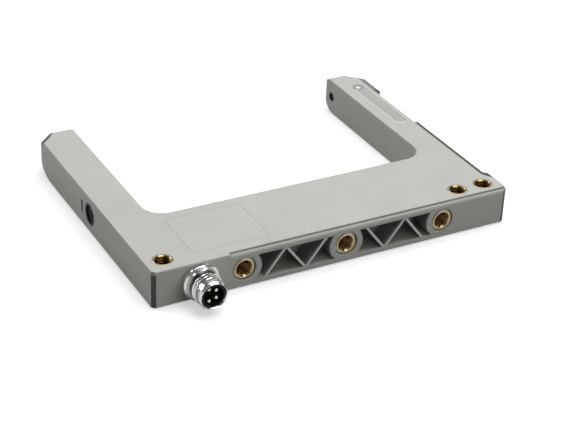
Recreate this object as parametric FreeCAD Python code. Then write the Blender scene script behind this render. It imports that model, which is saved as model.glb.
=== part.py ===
import FreeCAD, Part
import math
import os

# Fork light barrier: a flat U-shaped sensor housing with a light beam across its gap.
# The drawing frame has x = 0 in the middle of the gap, y = 0 on the connector side,
# y growing towards the arm tips, and z = 0 on the flat underside.

# Main form
gap_width = 80.0
arm_width = 10.0
spine_width = 24.3
throat_depth = 50.4
tip_margin = 4.2
thickness = 10.0
wall = 1.2
floor = 1.2

# Rounding of the outer form
tip_nose_under = 5.5
tip_nose_over = 3.0
tip_outer_radius = 5.4
tip_corner_under = 6.0
tip_corner_over = 3.5
tip_inner_radius = 1.2
throat_radius = 5.6
near_left_bevel = 0.9
near_right_bevel = 1.0
near_right_bevel_depth = 0.5
front_top_radius = 1.2
cover_front_radius = 0.3
edge_radius = 0.25
cavity_radius = 0.8

# Cover and the joint between cover and tub
cover_thickness = 1.0
cover_tab_end = 20.2
rim_width = 0.5
rim_groove = 0.5
cover_side_inset = 1.9
cover_tip_inset = 2.5
cover_tip_bevel = 4.5
cover_step_start = 6.6
cover_step_end = 9.1
cover_step_lip = 0.5
cover_step_outer_radius = 0.4
cover_step_inner_radius = 1.2
cover_clearance = 0.05
ledge_drop = 0.5
seat_width = 0.8

# Recesses in the outer side of the right arm
side_recess_start = 10.4
side_recess_step = 43.0
side_recess_end = 64.1
side_recess_shallow = 0.45
side_recess_deep = 1.5

# Ribbed front with its three inserts, evenly spaced between the connector and the corner
insert_connector_spacing = 11.9
insert_corner_spacing = 19.5
insert_radius = 2.85
insert_bore_radius = 1.65
insert_mouth = 0.6
insert_groove = 0.3
rear_insert_length = 6.0
insert_sink = 0.12
insert_stagger = 0.06
boss_wall = 1.85
boss_counterbore = 0.25
boss_counterbore_depth = 0.9
pocket_depth = 6.0
pocket_floor = 1.4
pocket_roof = 1.9
rib_count = 3
rib_thickness = 0.6
rib_margin = 5.8
rib_gap = 0.5

# Inserts that go right through the thickness, with thinner walls
through_insert_radius = 2.5
through_edge = 4.6
through_depth = 4.55
through_spacing = 7.8
through_boss_wall = 1.5

# Connector
connector_edge = 12.2
thread_radius = 4.0
thread_length = 3.0
sleeve_radius = 3.75
sleeve_length = 2.4
sleeve_bevel = 0.5
shell_bore_radius = 3.0
collar_radius = 4.85
collar_length = 1.9
collar_bevel = 0.35
undercut_radius = 4.5
undercut_length = 0.6
neck_radius = 4.35
neck_length = 0.8
shank_radius = 3.6
shank_length = 3.2
core_radius = 2.7
core_tail = 0.9
liner_wall = 0.35
liner_sink = 0.3
liner_depth = 4.6
key_width = 0.9
key_height = 0.45
pin_radius = 0.5
pin_tip_radius = 0.24
pin_tip_bevel = 0.36
pin_tip_shoulder = 0.43
pin_tip_start = 0.12
pin_sink = 0.8
pin_tail = 3.0
pin_column = 0.95
pin_wide_row = 1.6
pin_narrow_row = 1.05
seal_radius = 3.98
seal_width = 0.6
seal_thickness = 0.7
seal_bevel = 0.15
seal_play = 0.01
press_clearance = 0.02

# Light beam ports
port_radius = 1.4
lens_radius = 0.85
lens_sink = 0.35
lens_thickness = 0.6
port_length = 1.9
port_lip = 0.15
diode_depth = 2.0
diode_width = 2.2
diode_height = 3.2
diode_lead_length = 3.2
lead_radius = 0.25

# Indicator window and its lamp
window_width = 3.4
window_start = 43.4
window_end = 70.0
window_edge = 5.1
window_clearance = 0.05
window_sink = 0.3
window_flange = 0.6
window_flange_thickness = 0.6
window_bevel = 0.5
lamp_y = 68.1
lamp_radius = 1.2
lamp_base_radius = 1.5
lamp_base_height = 1.0
lamp_height = 2.7

# Trimmer in the left arm
trimmer_y = 39.5
trimmer_disc_radius = 2.95
trimmer_disc_thickness = 1.15
trimmer_disc_sink = 0.05
trimmer_dish_radius = 2.45
trimmer_dish_depth = 0.5
trimmer_play = 0.1
trimmer_shaft_radius = 1.45
trimmer_shaft_play = 0.05
trimmer_shaft_length = 2.7
trimmer_slot_width = 0.5
trimmer_slot_depth = 0.3
trimmer_slot_reach = 1.5
trimmer_body_depth = 3.2
trimmer_body_width = 6.0
trimmer_body_height = 5.6
trimmer_body_gap = 0.4
trimmer_pad_width = 4.0
trimmer_seal_width = 0.6
trimmer_seal_thickness = 0.35
trimmer_seal_bevel = 0.08
trimmer_lead_length = 1.6
trimmer_lead_pitch = 2.0
mark_inner_radius = 4.7
mark_outer_radius = 5.7
mark_half_angle = 20.0
mark_depth = 0.3

# Circuit boards
board_thickness = 1.0
board_gap = 0.3
board_front = 9.3
board_rear_gap = 0.4
arm_board_start = 0.6
arm_board_tip_gap = 3.3
post_radius = 1.2
post_row_y = 17.4
arm_post_places = (5.0, 37.0)
notch_clearance = 0.2
link_thickness = 0.2
link_width = 4.6
link_overlap = 1.6

# Components on the spine board: distance from the board's left end, length, width, height, lead pitch
chip_y = 15.0
chip_edge_radius = 0.25
chip_lead_reach = 0.9
chip_lead_thickness = 0.2
chips = {
    "controller_chip": (56.5, 6.4, 4.4, 1.1, 0.8),
    "driver_chip": (36.5, 5.0, 4.0, 1.4, 1.25),
    "regulator_chip": (22.5, 4.6, 3.6, 1.6, 1.53),
}

# Bare name plate on the cover
plate_length = 20.8
plate_width = 17.2
plate_radius = 1.2
plate_thickness = 0.1
plate_edge = 22.7
plate_y = 12.8

# Places that follow from the sizes above
half_gap = gap_width / 2
half_width = half_gap + arm_width
mid_z = thickness / 2
beam_y = spine_width + throat_depth
tip_y = beam_y + tip_margin
seat_z = thickness - cover_thickness
ledge_z = thickness - ledge_drop
plug_reach = collar_length + neck_length + thread_length + sleeve_length
cover_front_y = rim_width + rim_groove
cover_tip_y = tip_y - cover_tip_inset
cover_tab_x = cover_tab_end - half_width
cover_right_x = half_width - cover_side_inset
cavity_left_x = -half_width + wall
cavity_right_x = half_width - side_recess_deep - wall
cavity_inner_x = half_gap + wall
cavity_front_y = pocket_depth + wall
cavity_rear_y = spine_width - wall
cavity_tip_y = cover_tip_y - seat_width / 2
connector_x = -half_width + connector_edge
boss_radius = insert_radius + boss_wall
insert_left_x = connector_x + insert_connector_spacing
insert_right_x = half_width - insert_corner_spacing
insert_pitch = (insert_right_x - insert_left_x) / 2
insert_middle_x = insert_left_x + insert_pitch
rear_insert_x = [insert_left_x, insert_middle_x, insert_right_x]
rear_insert_sinks = [insert_sink, insert_sink + insert_stagger, insert_sink - insert_stagger]
rear_boss_length = insert_sink + insert_stagger + rear_insert_length + wall
rib_run = (insert_pitch - 2 * rib_margin - (rib_count - 1) * rib_gap) / rib_count
outer_through_x = half_width - through_edge
through_insert_x = [-outer_through_x, outer_through_x - through_spacing, outer_through_x]
board_z = mid_z - board_thickness / 2
board_top = mid_z + board_thickness / 2
board_left_x = cavity_left_x + board_gap
plate_x = -half_width + plate_edge
window_x = half_width - window_edge
trimmer_face_x = -half_width + trimmer_disc_sink
trimmer_disc_back_x = trimmer_face_x + trimmer_disc_thickness
trimmer_body_x = cavity_left_x + trimmer_body_gap
arm_board_end = beam_y - arm_board_tip_gap

# The finished part has its origin under the middle of its length, connector included
origin_shift = FreeCAD.Vector(0, plug_reach - (tip_y + plug_reach) / 2, 0)
big = 4 * half_width


def point(x, y, z=0.0):
    return FreeCAD.Vector(x, y, z)


def block(x0, x1, y0, y1, z0, z1):
    """Box between two corners."""
    return Part.makeBox(x1 - x0, y1 - y0, z1 - z0, point(x0, y0, z0))


def rod(start, direction, radius, length):
    """Round bar from a start point along a direction."""
    return Part.makeCylinder(radius, length, point(*start), point(*direction))


def corner_points(before, corner, after, radius):
    """Where a rounding of this radius enters, turns and leaves a corner."""
    back = (before - corner).normalize()
    ahead = (after - corner).normalize()
    half = back.getAngle(ahead) / 2
    reach = radius / math.tan(half)
    middle = (back + ahead).normalize() * (radius / math.sin(half) - radius)
    return corner + back * reach, corner + middle, corner + ahead * reach


def outline(corners):
    """Closed wire through corners given as (x, y, rounding radius)."""
    places = [point(x, y) for x, y, radius in corners]
    count = len(corners)
    turns = []
    for index, (x, y, radius) in enumerate(corners):
        if radius > 0:
            turns.append(corner_points(places[index - 1], places[index],
                                       places[(index + 1) % count], radius))
        else:
            turns.append((places[index], None, places[index]))
    edges = []
    for index, (enter, middle, leave) in enumerate(turns):
        if middle is not None:
            edges.append(Part.Arc(enter, middle, leave).toShape())
        follow = turns[(index + 1) % count][0]
        if leave.distanceToPoint(follow) > 1e-6:
            edges.append(Part.LineSegment(leave, follow).toShape())
    return Part.Wire(edges)


def prism(corners, z0, z1):
    """Upright solid over an outline."""
    face = Part.Face(outline(corners))
    face.translate(point(0, 0, z0))
    return face.extrude(point(0, 0, z1 - z0))


def sideways_prism(corners, x0, x1):
    """Solid with an outline given in y and z, running along x."""
    solid = prism(corners, x0, x1)
    solid.rotate(point(0, 0, 0), point(1, 1, 1), 120)
    return solid


def turned(profile, centre, direction):
    """Solid of revolution from (distance along the axis, radius) corners."""
    places = [point(radius, 0, along) for along, radius in profile]
    face = Part.Face(Part.makePolygon(places + places[:1]))
    solid = face.revolve(point(0, 0, 0), point(0, 0, 1), 360)
    solid.Placement = FreeCAD.Placement(
        point(*centre), FreeCAD.Rotation(point(0, 0, 1), point(*direction)))
    return solid


def ring(centre, direction, radius, width, depth, bevel):
    """Flat sealing ring with broken edges; it lies at the centre and grows along the direction."""
    inner = radius - width / 2
    outer = radius + width / 2
    profile = [
        (0, inner + bevel),
        (0, outer - bevel),
        (bevel, outer),
        (depth - bevel, outer),
        (depth, outer - bevel),
        (depth, inner + bevel),
        (depth - bevel, inner),
        (bevel, inner),
    ]
    return turned(profile, centre, direction)


def slot_outline(x, y0, y1, radius):
    """Long hole with round ends, running along y."""
    return [(x - radius, y0, radius), (x + radius, y0, radius),
            (x + radius, y1, radius), (x - radius, y1, radius)]


def soften(solid, radius, chosen):
    """Round the edges for which the test says yes."""
    edges = [edge for edge in solid.Edges if chosen(edge)]
    return solid.makeFillet(radius, edges) if edges else solid


def at_height(z):
    """Test for edges that lie wholly at one height."""
    def test(edge):
        box = edge.BoundBox
        return abs(box.ZMin - z) < 1e-4 and abs(box.ZMax - z) < 1e-4
    return test


def rounded_corner(side):
    """Everything inside a slanting rounding over the outer corner of one arm tip."""
    reach = (half_width + tip_y) / math.sqrt(2) - tip_outer_radius * (math.sqrt(2) - 1)
    profile = [
        (-big, -wall, 0),
        (reach - tip_corner_under, -wall, 0),
        (reach - tip_corner_under, 0, 0),
        (reach, 0, tip_corner_under),
        (reach, thickness, tip_corner_over),
        (reach - tip_corner_over, thickness, 0),
        (reach - tip_corner_over, thickness + wall, 0),
        (-big, thickness + wall, 0),
    ]
    solid = sideways_prism(profile, -big, big)
    solid.rotate(point(0, 0, 0), point(0, 0, 1), -side * 45)
    return solid


def housing_envelope():
    """Outer form of the closed housing, before it is parted into tub and cover."""
    plan = [
        (-half_width, near_left_bevel, 0),
        (-half_width + near_left_bevel, 0, 0),
        (half_width - near_right_bevel, 0, 0),
        (half_width, near_right_bevel_depth, 0),
        (half_width, side_recess_start, 0),
        (half_width - side_recess_shallow, side_recess_start, 0),
        (half_width - side_recess_shallow, side_recess_step, 0),
        (half_width - side_recess_deep, side_recess_step, 0),
        (half_width - side_recess_deep, side_recess_end, 0),
        (half_width, side_recess_end, 0),
        (half_width, tip_y, tip_outer_radius),
        (half_gap, tip_y, tip_inner_radius),
        (half_gap, spine_width, throat_radius),
        (-half_gap, spine_width, throat_radius),
        (-half_gap, tip_y, tip_inner_radius),
        (-half_width, tip_y, tip_outer_radius),
    ]
    nose = [
        (-wall, 0, 0),
        (tip_y, 0, tip_nose_under),
        (tip_y, thickness, tip_nose_over),
        (-wall, thickness, 0),
    ]
    body = prism(plan, 0, thickness).common(sideways_prism(nose, -big, big))
    for side in (-1, 1):
        body = body.common(rounded_corner(side))
    straight = tip_y - tip_outer_radius - edge_radius
    limit = block(-big, big, straight, big, -wall, thickness + wall)
    for x0, x1, radius in ((-big, cover_tab_x, cover_front_radius), (cover_tab_x, big, front_top_radius)):
        front = [
            (0, 0, edge_radius),
            (straight, 0, 0),
            (straight, thickness, 0),
            (0, thickness, radius),
        ]
        limit = limit.fuse(sideways_prism(front, x0, x1))
    return body.common(limit).removeSplitter()


def cover_outline(clearance):
    """Plan of the cover; it runs past the housing wherever the two end together."""
    side = cover_right_x + clearance
    tip = cover_tip_y + clearance
    bevel_start = cover_tip_y - cover_tip_bevel + clearance
    past = half_width + wall
    bevel_right_y = bevel_start + half_width - side
    bevel_top_x = half_width - (tip - bevel_start)
    return [
        (-past, -wall, 0),
        (cover_tab_x + clearance, -wall, 0),
        (cover_tab_x + clearance, cover_front_y - clearance, 0),
        (past, cover_front_y - clearance, 0),
        (past, cover_step_start + clearance, 0),
        (half_width - cover_step_lip, cover_step_start + clearance, cover_step_outer_radius),
        (side, cover_step_end, cover_step_inner_radius),
        (side, bevel_right_y, 0),
        (bevel_top_x, tip, 0),
        (-bevel_top_x, tip, 0),
        (-past, bevel_start - wall, 0),
    ]


def cavity_outline():
    """Plan of the hollow inside the tub."""
    bevel = cover_tip_y - cover_tip_bevel - seat_width * math.sqrt(2)
    left_bevel_y = bevel + half_width + cavity_left_x
    right_bevel_y = bevel + half_width - cavity_right_x
    bevel_x = half_width - (cavity_tip_y - bevel)
    return [
        (cavity_left_x, cavity_front_y, cavity_radius),
        (cavity_right_x, cavity_front_y, cavity_radius),
        (cavity_right_x, right_bevel_y, 0),
        (bevel_x, cavity_tip_y, 0),
        (cavity_inner_x, cavity_tip_y, cavity_radius),
        (cavity_inner_x, cavity_rear_y, 0),
        (-cavity_inner_x, cavity_rear_y, 0),
        (-cavity_inner_x, cavity_tip_y, cavity_radius),
        (-bevel_x, cavity_tip_y, 0),
        (cavity_left_x, left_bevel_y, 0),
    ]


def rib(x_low, x_high):
    """One slanting rib of the front, from the floor of its pocket to the roof."""
    slope = (x_high - x_low) / (thickness - pocket_roof - pocket_floor)
    half = rib_thickness / 2 * math.hypot(1, slope)
    past = wall / 2
    low = pocket_floor - past
    high = thickness - pocket_roof + past
    x0 = x_low - slope * past
    x1 = x_high + slope * past
    places = [point(x0 - half, 0, low), point(x0 + half, 0, low),
              point(x1 + half, 0, high), point(x1 - half, 0, high)]
    face = Part.Face(Part.makePolygon(places + places[:1]))
    return face.extrude(point(0, pocket_depth, 0))


def rib_pocket(side):
    """Pocket between the middle boss and the boss on one side, with its ribs left standing."""
    outer_x = insert_middle_x + side * insert_pitch
    hollow = block(min(outer_x, insert_middle_x), max(outer_x, insert_middle_x),
                   -wall, pocket_depth, pocket_floor, thickness - pocket_roof)
    for x in (outer_x, insert_middle_x):
        hollow = hollow.cut(rod((x, -2 * wall, mid_z), (0, 1, 0), boss_radius, big))
    for index in range(rib_count):
        near = rib_margin + index * (rib_run + rib_gap)
        far = near + rib_run
        high, low = (near, far) if index % 2 == 0 else (far, near)
        hollow = hollow.cut(rib(insert_middle_x + side * low, insert_middle_x + side * high))
    return hollow


def tub_bosses():
    """Solid places around the inserts that reach into the hollow."""
    bosses = []
    for x in rear_insert_x:
        bosses.append(rod((x, 0, mid_z), (0, 1, 0), boss_radius, rear_boss_length))
    for x in through_insert_x:
        bosses.append(rod((x, through_depth, 0), (0, 0, 1),
                          through_insert_radius + through_boss_wall, thickness))
    return bosses


def tub_posts():
    """Posts that carry the boards, and the pad under the trimmer."""
    arm_left = (cavity_left_x - cavity_inner_x) / 2
    arm_right = (cavity_right_x + cavity_inner_x) / 2
    places = [(step * half_gap / 3, post_row_y) for step in (-3, -1, 1, 3)]
    for reach in arm_post_places:
        places.append((arm_left, spine_width + reach))
        places.append((arm_right, spine_width + reach))
    posts = [rod((x, y, floor), (0, 0, 1), post_radius, board_z - floor) for x, y in places]
    pad_top = mid_z - trimmer_body_height / 2
    posts.append(block(trimmer_body_x, trimmer_body_x + trimmer_body_depth,
                       trimmer_y - trimmer_pad_width / 2, trimmer_y + trimmer_pad_width / 2,
                       floor, pad_top))
    return posts


def trimmer_mark():
    """Curved setting mark beside the trimmer, sunk a little into the side face."""
    start = (-half_width - wall, trimmer_y, mid_z)
    band = rod(start, (1, 0, 0), mark_outer_radius, wall + mark_depth)
    band = band.cut(rod(start, (1, 0, 0), mark_inner_radius, 2 * wall))
    reach = 2 * mark_outer_radius
    slope = reach * math.tan(math.radians(mark_half_angle))
    wedge = sideways_prism([(trimmer_y, mid_z, 0), (trimmer_y + reach, mid_z - slope, 0),
                            (trimmer_y + reach, mid_z + slope, 0)], -big, 0)
    return band.common(wedge)


def make_tub(envelope):
    """Lower shell of the housing with its ribbed front, bosses and bores."""
    hollow = prism(cavity_outline(), floor, thickness + wall)
    for solid in tub_bosses() + tub_posts():
        hollow = hollow.cut(solid)
    tub = envelope.cut(prism(cover_outline(cover_clearance), seat_z, thickness + wall))
    tub = tub.cut(block(-big, big, cover_step_end, big, ledge_z, thickness + wall))
    groove = block(cover_tab_x, big, rim_width, cover_front_y, seat_z, thickness + wall)
    tub = tub.cut(groove).cut(hollow)
    for side in (-1, 1):
        tub = tub.cut(rib_pocket(side))
    for x, sink in zip(rear_insert_x, rear_insert_sinks):
        mouth = (x, -wall, mid_z)
        tub = tub.cut(rod(mouth, (0, 1, 0), insert_radius, wall + sink + rear_insert_length))
        tub = tub.cut(rod(mouth, (0, 1, 0), insert_radius + boss_counterbore,
                          wall + sink + boss_counterbore_depth))
    for x in through_insert_x:
        tub = tub.cut(rod((x, through_depth, -wall), (0, 0, 1), through_insert_radius, big))
    connector = (connector_x, -wall, mid_z)
    tub = tub.cut(rod(connector, (0, 1, 0), shank_radius, wall + shank_length))
    tub = tub.cut(rod(connector, (0, 1, 0), core_radius, wall + cavity_front_y + wall))
    for side in (-1, 1):
        tub = tub.cut(rod((side * (half_gap - wall), beam_y, mid_z), (side, 0, 0),
                          port_radius, 3 * wall))
    tub = tub.cut(rod((-half_width - wall, trimmer_y, mid_z), (1, 0, 0),
                      trimmer_disc_radius + trimmer_play, 2.5 * wall))
    return tub.cut(trimmer_mark())


def plate_outline():
    """Plan of the name plate and of its recess."""
    return [(plate_x + sx * plate_length / 2, plate_y + sy * plate_width / 2, plate_radius)
            for sx, sy in ((-1, -1), (1, -1), (1, 1), (-1, 1))]


def make_cover(envelope):
    """Flat cover, flush with the housing and stepped where the tub has its ledges."""
    cover = envelope.common(prism(cover_outline(0), seat_z, thickness + wall))
    window = slot_outline(window_x, window_start, window_end, window_width / 2)
    cover = cover.cut(prism(window, 0, thickness + wall))
    cover = cover.cut(prism(plate_outline(), thickness - plate_thickness, thickness + wall))
    for x in through_insert_x:
        cover = cover.cut(rod((x, through_depth, 0), (0, 0, 1),
                              through_insert_radius + cover_clearance, big))
    return cover


def insert_profile(radius, length):
    """Section of a threaded bush: bore, mouth bevels and a grip groove around the outside."""
    half = length / 2
    return [
        (0, insert_bore_radius + insert_mouth),
        (0, radius),
        (half - insert_groove, radius),
        (half - insert_groove / 2, radius - insert_groove),
        (half + insert_groove / 2, radius - insert_groove),
        (half + insert_groove, radius),
        (length, radius),
        (length, insert_bore_radius + insert_mouth),
        (length - insert_mouth, insert_bore_radius),
        (insert_mouth, insert_bore_radius),
    ]


def make_connector_shell():
    """Threaded metal shell with collar, neck and the shank that sits in the tub."""
    back = shank_length
    collar_end = -collar_length
    neck_end = collar_end - neck_length
    face = -plug_reach
    sleeve_end = face + sleeve_length
    thread_bevel = thread_radius - sleeve_radius
    groove_in = seal_radius - seal_width / 2 - seal_play
    groove_out = seal_radius + seal_width / 2 + seal_play
    groove_depth = seal_thickness + seal_play
    profile = [
        (face, shell_bore_radius),
        (face, sleeve_radius - sleeve_bevel),
        (face + sleeve_bevel, sleeve_radius),
        (sleeve_end - thread_bevel, sleeve_radius),
        (sleeve_end, thread_radius),
        (neck_end - thread_bevel, thread_radius),
        (neck_end, thread_radius - thread_bevel),
        (neck_end, neck_radius),
        (collar_end, neck_radius),
        (collar_end, collar_radius - collar_bevel),
        (collar_end + collar_bevel, collar_radius),
        (-undercut_length, collar_radius),
        (-undercut_length, undercut_radius),
        (0, undercut_radius),
        (0, groove_out),
        (-groove_depth, groove_out),
        (-groove_depth, groove_in),
        (0, groove_in),
        (0, shank_radius - press_clearance),
        (back, shank_radius - press_clearance),
        (back, core_radius),
        (collar_end, core_radius),
        (collar_end, shell_bore_radius),
    ]
    return turned(profile, (connector_x, 0, mid_z), (0, 1, 0))


def pin_places():
    """Where the four contacts stand across the connector face."""
    return [(connector_x - pin_column, mid_z + pin_wide_row),
            (connector_x - pin_column, mid_z - pin_wide_row),
            (connector_x + pin_column, mid_z + pin_narrow_row),
            (connector_x + pin_column, mid_z - pin_narrow_row)]


def make_connector_core():
    """Insulating body: a liner in the shell, a solid floor and a tail into the housing."""
    outer = shell_bore_radius - press_clearance
    inner = outer - liner_wall
    front = -plug_reach + liner_sink
    floor_y = front + liner_depth
    step = -collar_length - press_clearance
    tail = cavity_front_y + core_tail
    profile = [
        (front, inner),
        (front, outer),
        (step, outer),
        (step, core_radius - press_clearance),
        (tail, core_radius - press_clearance),
        (tail, 0),
        (floor_y, 0),
        (floor_y, inner),
    ]
    core = turned(profile, (connector_x, 0, mid_z), (0, 1, 0))
    key = block(connector_x - key_width / 2, connector_x + key_width / 2, front + liner_wall, floor_y,
                mid_z + inner - key_height, mid_z + inner + liner_wall / 2)
    core = core.fuse(key).removeSplitter()
    for x, z in pin_places():
        core = core.cut(rod((x, floor_y - wall, z), (0, 1, 0), pin_radius, big))
    return core


def make_contact_pins():
    """Four round contacts with blunt bevelled ends."""
    start = -plug_reach + pin_sink
    length = cavity_front_y + core_tail + pin_tail - start
    profile = [
        (0, 0),
        (0, pin_tip_radius),
        (pin_tip_start, pin_tip_shoulder),
        (pin_tip_bevel, pin_radius),
        (length, pin_radius),
        (length, 0),
    ]
    return Part.makeCompound([turned(profile, (x, start, z), (0, 1, 0)) for x, z in pin_places()])


def make_port(side):
    """Dark sleeve that lines a light port in the inner side of one arm."""
    profile = [
        (0, lens_radius + port_lip),
        (0, port_radius - press_clearance),
        (port_length, port_radius - press_clearance),
        (port_length, lens_radius),
        (lens_sink, lens_radius),
    ]
    return turned(profile, (side * (half_gap + cover_clearance), beam_y, mid_z), (side, 0, 0))


def make_lens(side):
    """Small lens, domed towards the gap and flat towards its diode."""
    radius = lens_radius - press_clearance
    rise = lens_thickness / 2
    ball = (radius * radius + rise * rise) / (2 * rise)
    front_x = side * (half_gap + cover_clearance + lens_sink)
    disc = rod((front_x, beam_y, mid_z), (side, 0, 0), radius, lens_thickness)
    dome = Part.makeSphere(ball, point(front_x + side * ball, beam_y, mid_z))
    return disc.common(dome)


def make_diode(side):
    """Light source or receiver behind its port, with two leads that grip the board."""
    face = half_gap + cover_clearance + port_length
    x0, x1 = sorted((side * face, side * (face + diode_depth)))
    body = block(x0, x1, beam_y - diode_width / 2, beam_y + diode_width / 2,
                 mid_z - diode_height / 2, mid_z + diode_height / 2)
    middle = (x0 + x1) / 2
    for offset in (board_thickness / 2 + lead_radius, -board_thickness / 2 - lead_radius):
        lead = rod((middle, beam_y - diode_width / 2 - diode_lead_length, mid_z + offset),
                   (0, 1, 0), lead_radius, diode_lead_length + diode_width / 2)
        body = body.fuse(lead)
    return body.removeSplitter()


def make_window():
    """Clear light guide in the cover, with a flange under the cover's inner face."""
    radius = window_width / 2 - window_clearance
    upper = slot_outline(window_x, window_start + window_clearance,
                         window_end - window_clearance, radius)
    top = prism(upper, seat_z, thickness - window_sink)
    top = soften(top, window_bevel, at_height(thickness - window_sink))
    lower = slot_outline(window_x, window_start - window_flange,
                         window_end + window_flange, window_width / 2 + window_flange)
    flange = prism(lower, seat_z - window_flange_thickness, seat_z)
    return top.fuse(flange).removeSplitter()


def make_lamp():
    """Indicator lamp with a round base and a domed lens, standing on its board."""
    shoulder = lamp_base_height
    dome_start = lamp_height - lamp_radius
    base = rod((window_x, lamp_y, board_top), (0, 0, 1), lamp_base_radius, shoulder)
    stem = rod((window_x, lamp_y, board_top), (0, 0, 1), lamp_radius, dome_start)
    dome = Part.makeSphere(lamp_radius, point(window_x, lamp_y, board_top + dome_start))
    return base.fuse(stem).fuse(dome).removeSplitter()


def make_trimmer_rotor():
    """Dished disc with a cross slot for a screwdriver, and its shaft."""
    disc = rod((trimmer_face_x, trimmer_y, mid_z), (1, 0, 0),
               trimmer_disc_radius, trimmer_disc_thickness)
    disc = disc.cut(rod((-half_width - wall, trimmer_y, mid_z), (1, 0, 0),
                        trimmer_dish_radius, wall + trimmer_disc_sink + trimmer_dish_depth))
    shaft = rod((trimmer_disc_back_x, trimmer_y, mid_z), (1, 0, 0),
                trimmer_shaft_radius, trimmer_shaft_length)
    rotor = disc.fuse(shaft)
    half = trimmer_slot_width / 2
    deep = trimmer_face_x + trimmer_dish_depth + trimmer_slot_depth
    for along_y, along_z in ((half, trimmer_slot_reach), (trimmer_slot_reach, half)):
        rotor = rotor.cut(block(-half_width - wall, deep,
                                trimmer_y - along_y, trimmer_y + along_y,
                                mid_z - along_z, mid_z + along_z))
    return rotor.removeSplitter()


def make_trimmer_body():
    """Fixed body of the trimmer with three leads on the board."""
    x1 = trimmer_body_x + trimmer_body_depth
    body = block(trimmer_body_x, x1, trimmer_y - trimmer_body_width / 2,
                 trimmer_y + trimmer_body_width / 2, mid_z - trimmer_body_height / 2,
                 mid_z + trimmer_body_height / 2)
    for step in (-1, 0, 1):
        place = (x1 - lead_radius, trimmer_y + step * trimmer_lead_pitch, board_top + lead_radius)
        body = body.fuse(rod(place, (1, 0, 0), lead_radius, trimmer_lead_length + lead_radius))
    bore = rod((trimmer_body_x - wall, trimmer_y, mid_z), (1, 0, 0),
               trimmer_shaft_radius + trimmer_shaft_play,
               trimmer_disc_back_x + trimmer_shaft_length + trimmer_play - trimmer_body_x + wall)
    return body.cut(bore).removeSplitter()


def make_connector_seal():
    """Sealing ring in the groove of the collar, lying on the front face."""
    return ring((connector_x, 0, mid_z), (0, -1, 0),
                seal_radius, seal_width, seal_thickness, seal_bevel)


def make_trimmer_seal():
    """Sealing ring around the trimmer shaft, lying on the trimmer body."""
    radius = trimmer_shaft_radius + trimmer_shaft_play + trimmer_seal_width / 2
    return ring((trimmer_body_x, trimmer_y, mid_z), (-1, 0, 0),
                radius, trimmer_seal_width, trimmer_seal_thickness, trimmer_seal_bevel)


def make_main_board():
    """Board in the spine, behind the connector and the bosses."""
    return block(board_left_x, cavity_right_x - board_gap, board_front,
                 cavity_rear_y - board_rear_gap, board_z, board_top)


def make_arm_board(side):
    """Board in one arm; the left one is notched for the trimmer."""
    outer = cavity_right_x - board_gap if side > 0 else -cavity_left_x - board_gap
    x0, x1 = sorted((side * (cavity_inner_x + board_gap), side * outer))
    board = block(x0, x1, spine_width + arm_board_start, arm_board_end, board_z, board_top)
    if side < 0:
        reach = trimmer_body_width / 2 + notch_clearance
        board = board.cut(block(-big, trimmer_body_x + trimmer_body_depth + notch_clearance,
                                trimmer_y - reach, trimmer_y + reach, 0, thickness))
    return board


def make_link(side):
    """Flat jumper lying across the joint between the spine board and an arm board."""
    outer = cavity_right_x if side > 0 else -cavity_left_x
    middle = side * (cavity_inner_x + outer) / 2
    return block(middle - link_width / 2, middle + link_width / 2,
                 cavity_rear_y - board_rear_gap - link_overlap,
                 spine_width + arm_board_start + link_overlap,
                 board_top, board_top + link_thickness)


def make_chip(from_left, length, width, height, lead_pitch):
    """Component on the spine board, with flat leads along its two long sides."""
    x0 = board_left_x + from_left - length / 2
    chip = block(x0, x0 + length, chip_y - width / 2, chip_y + width / 2,
                 board_top, board_top + height)
    chip = soften(chip, chip_edge_radius, at_height(board_top + height))
    leads = round(length / lead_pitch)
    pitch = length / leads
    reach = width / 2 + chip_lead_reach
    for index in range(leads):
        lead_x = x0 + pitch * (index + 0.5)
        chip = chip.fuse(block(lead_x - pitch / 5, lead_x + pitch / 5, chip_y - reach, chip_y + reach,
                               board_top, board_top + chip_lead_thickness))
    return chip.removeSplitter()


def make_plate():
    """Bare name plate, flush in its shallow recess."""
    return prism(plate_outline(), thickness - plate_thickness, thickness)


def save(name, shape):
    """Move a finished piece to the part's own frame and write it."""
    shape.translate(origin_shift)
    shape.exportStep("parts/" + name + ".step")
    print(name, len(shape.Solids), "solids", round(shape.Volume, 2), "mm3", shape.isValid())


os.makedirs("parts", exist_ok=True)

envelope = housing_envelope()
save("housing_tub", make_tub(envelope))
save("housing_cover", make_cover(envelope))
save("name_plate", make_plate())
save("indicator_window", make_window())
save("indicator_lamp", make_lamp())

insert_names = ("rear_insert_left", "rear_insert_middle", "rear_insert_right")
for name, x, sink in zip(insert_names, rear_insert_x, rear_insert_sinks):
    profile = insert_profile(insert_radius, rear_insert_length)
    save(name, turned(profile, (x, sink, mid_z), (0, 1, 0)))
insert_names = ("through_insert_left", "through_insert_inner", "through_insert_right")
for name, x in zip(insert_names, through_insert_x):
    profile = insert_profile(through_insert_radius, thickness)
    save(name, turned(profile, (x, through_depth, 0), (0, 0, 1)))

save("connector_shell", make_connector_shell())
save("connector_core", make_connector_core())
save("contact_pins", make_contact_pins())
save("connector_seal", make_connector_seal())

for side, arm in ((-1, "emitter"), (1, "receiver")):
    save(arm + "_port", make_port(side))
    save(arm + "_lens", make_lens(side))
    save(arm + "_diode", make_diode(side))
    save(arm + "_board", make_arm_board(side))
    save(arm + "_link", make_link(side))

save("trimmer_rotor", make_trimmer_rotor())
save("trimmer_body", make_trimmer_body())
save("trimmer_seal", make_trimmer_seal())
save("main_board", make_main_board())
for name, sizes in chips.items():
    save(name, make_chip(*sizes))
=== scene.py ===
import math

import bmesh
import bpy
from mathutils import Matrix, Vector

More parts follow.
